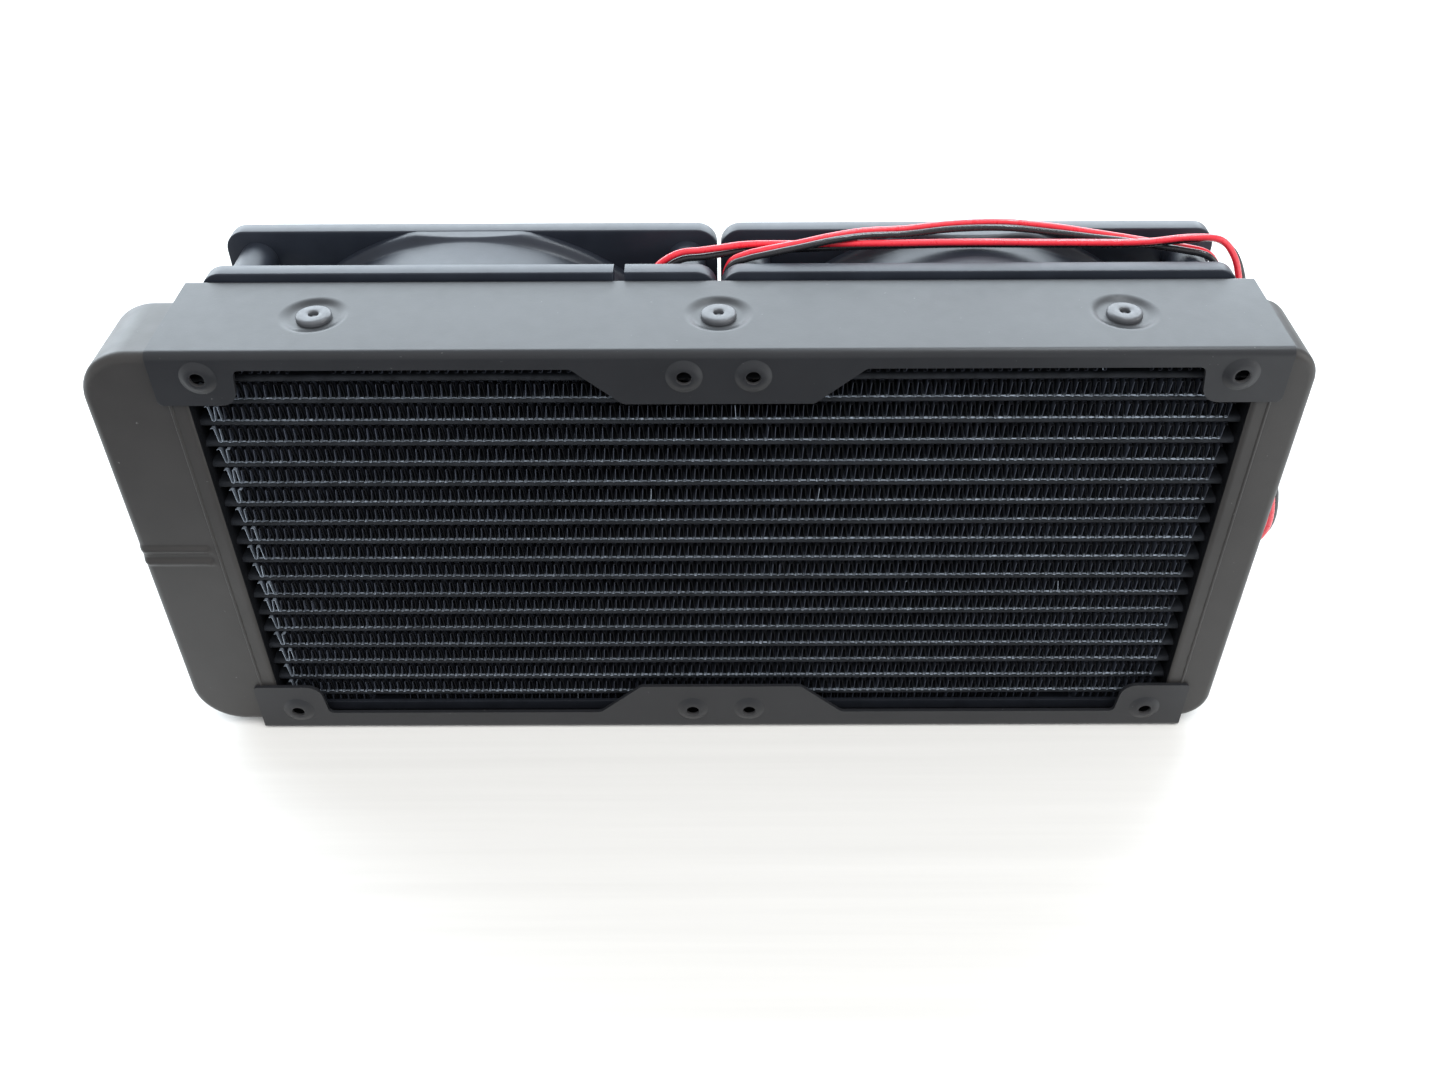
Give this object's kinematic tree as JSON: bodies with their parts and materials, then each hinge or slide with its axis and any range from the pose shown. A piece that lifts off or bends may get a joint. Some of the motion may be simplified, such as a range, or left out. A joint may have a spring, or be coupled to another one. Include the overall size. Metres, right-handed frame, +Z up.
{
  "type": "liquid cooling radiator",
  "caption": "Slim rectangular liquid-to-air radiator with finned flat tubes between two end tanks, in a black sheet-metal frame, with axial fans screwed to its back.",
  "frame": {"origin": "middle of the footprint of the radiator and its fans, on the surface it stands on, without the loose fan leads", "axes": "+X along the core towards the narrow end tank, +Y from the open finned face to the fans behind it, +Z up, with the radiator standing on its long edge"},
  "size_m": [0.299, 0.093, 0.1248],
  "materials": {
    "black_paint": "satin black paint on aluminium sheet",
    "core_paint": "thin semi-gloss black paint on aluminium fins and tubes",
    "bare_aluminium": "mill finish",
    "port_metal": "black painted threaded insert",
    "rivet_paint": "satin black paint",
    "fan_plastic": "moulded, satin",
    "bearing_bronze": "sintered",
    "steel": "bright",
    "copper": "enamelled",
    "circuit_board": "solder mask",
    "label_film": "blank film",
    "screw_black": "black oxide",
    "wire_red": "smooth insulation",
    "wire_black": "smooth insulation",
    "plug_plastic": "moulded",
    "tie_plastic": "moulded",
    "magnet_rubber": "dull",
    "clip_nylon": "moulded"
  },
  "bodies": {
    "radiator": {"left_tank": "black_paint", "right_tank": "black_paint", "left_header_plate": "black_paint", "right_header_plate": "black_paint", "tank_partition": "bare_aluminium", "inlet_port": "port_metal", "outlet_port": "port_metal", "flat_tubes": "core_paint", "cooling_fins": "core_paint", "upper_side_plate": "black_paint", "lower_side_plate": "black_paint", "top_bracket": "black_paint", "bottom_bracket": "black_paint", "top_rivets": "rivet_paint", "bottom_rivets": "rivet_paint", "left_fan_frame": "fan_plastic", "left_bearing_sleeve": "bearing_bronze", "left_stator_core": "steel", "left_stator_windings": "copper", "left_circuit_board": "circuit_board", "left_motor_label": "label_film", "left_fan_screws": "screw_black", "left_lead_red": "wire_red", "left_lead_black": "wire_black", "left_lead_coil": "wire_red", "left_lead_plug": "plug_plastic", "left_lead_tie": "tie_plastic", "right_fan_frame": "fan_plastic", "right_bearing_sleeve": "bearing_bronze", "right_stator_core": "steel", "right_stator_windings": "copper", "right_circuit_board": "circuit_board", "right_motor_label": "label_film", "right_fan_screws": "screw_black", "right_lead_red": "wire_red", "right_lead_black": "wire_black", "right_lead_coil": "wire_red", "right_lead_plug": "plug_plastic", "right_lead_tie": "tie_plastic"},
    "left_rotor": {"left_impeller": "fan_plastic", "left_rotor_yoke": "steel", "left_rotor_magnet": "magnet_rubber", "left_rotor_shaft": "steel", "left_shaft_clip": "clip_nylon"},
    "right_rotor": {"right_impeller": "fan_plastic", "right_rotor_yoke": "steel", "right_rotor_magnet": "magnet_rubber", "right_rotor_shaft": "steel", "right_shaft_clip": "clip_nylon"}
  },
  "joints": [
    {"name": "left_fan_spin", "type": "hinge", "parent": "radiator", "child": "left_rotor", "pos_m": [-0.0554, 0.01465, 0.06], "axis": [0, 1, 0], "continuous": true},
    {"name": "right_fan_spin", "type": "hinge", "parent": "radiator", "child": "right_rotor", "pos_m": [0.0654, 0.01465, 0.06], "axis": [0, 1, 0], "continuous": true}
  ]
}
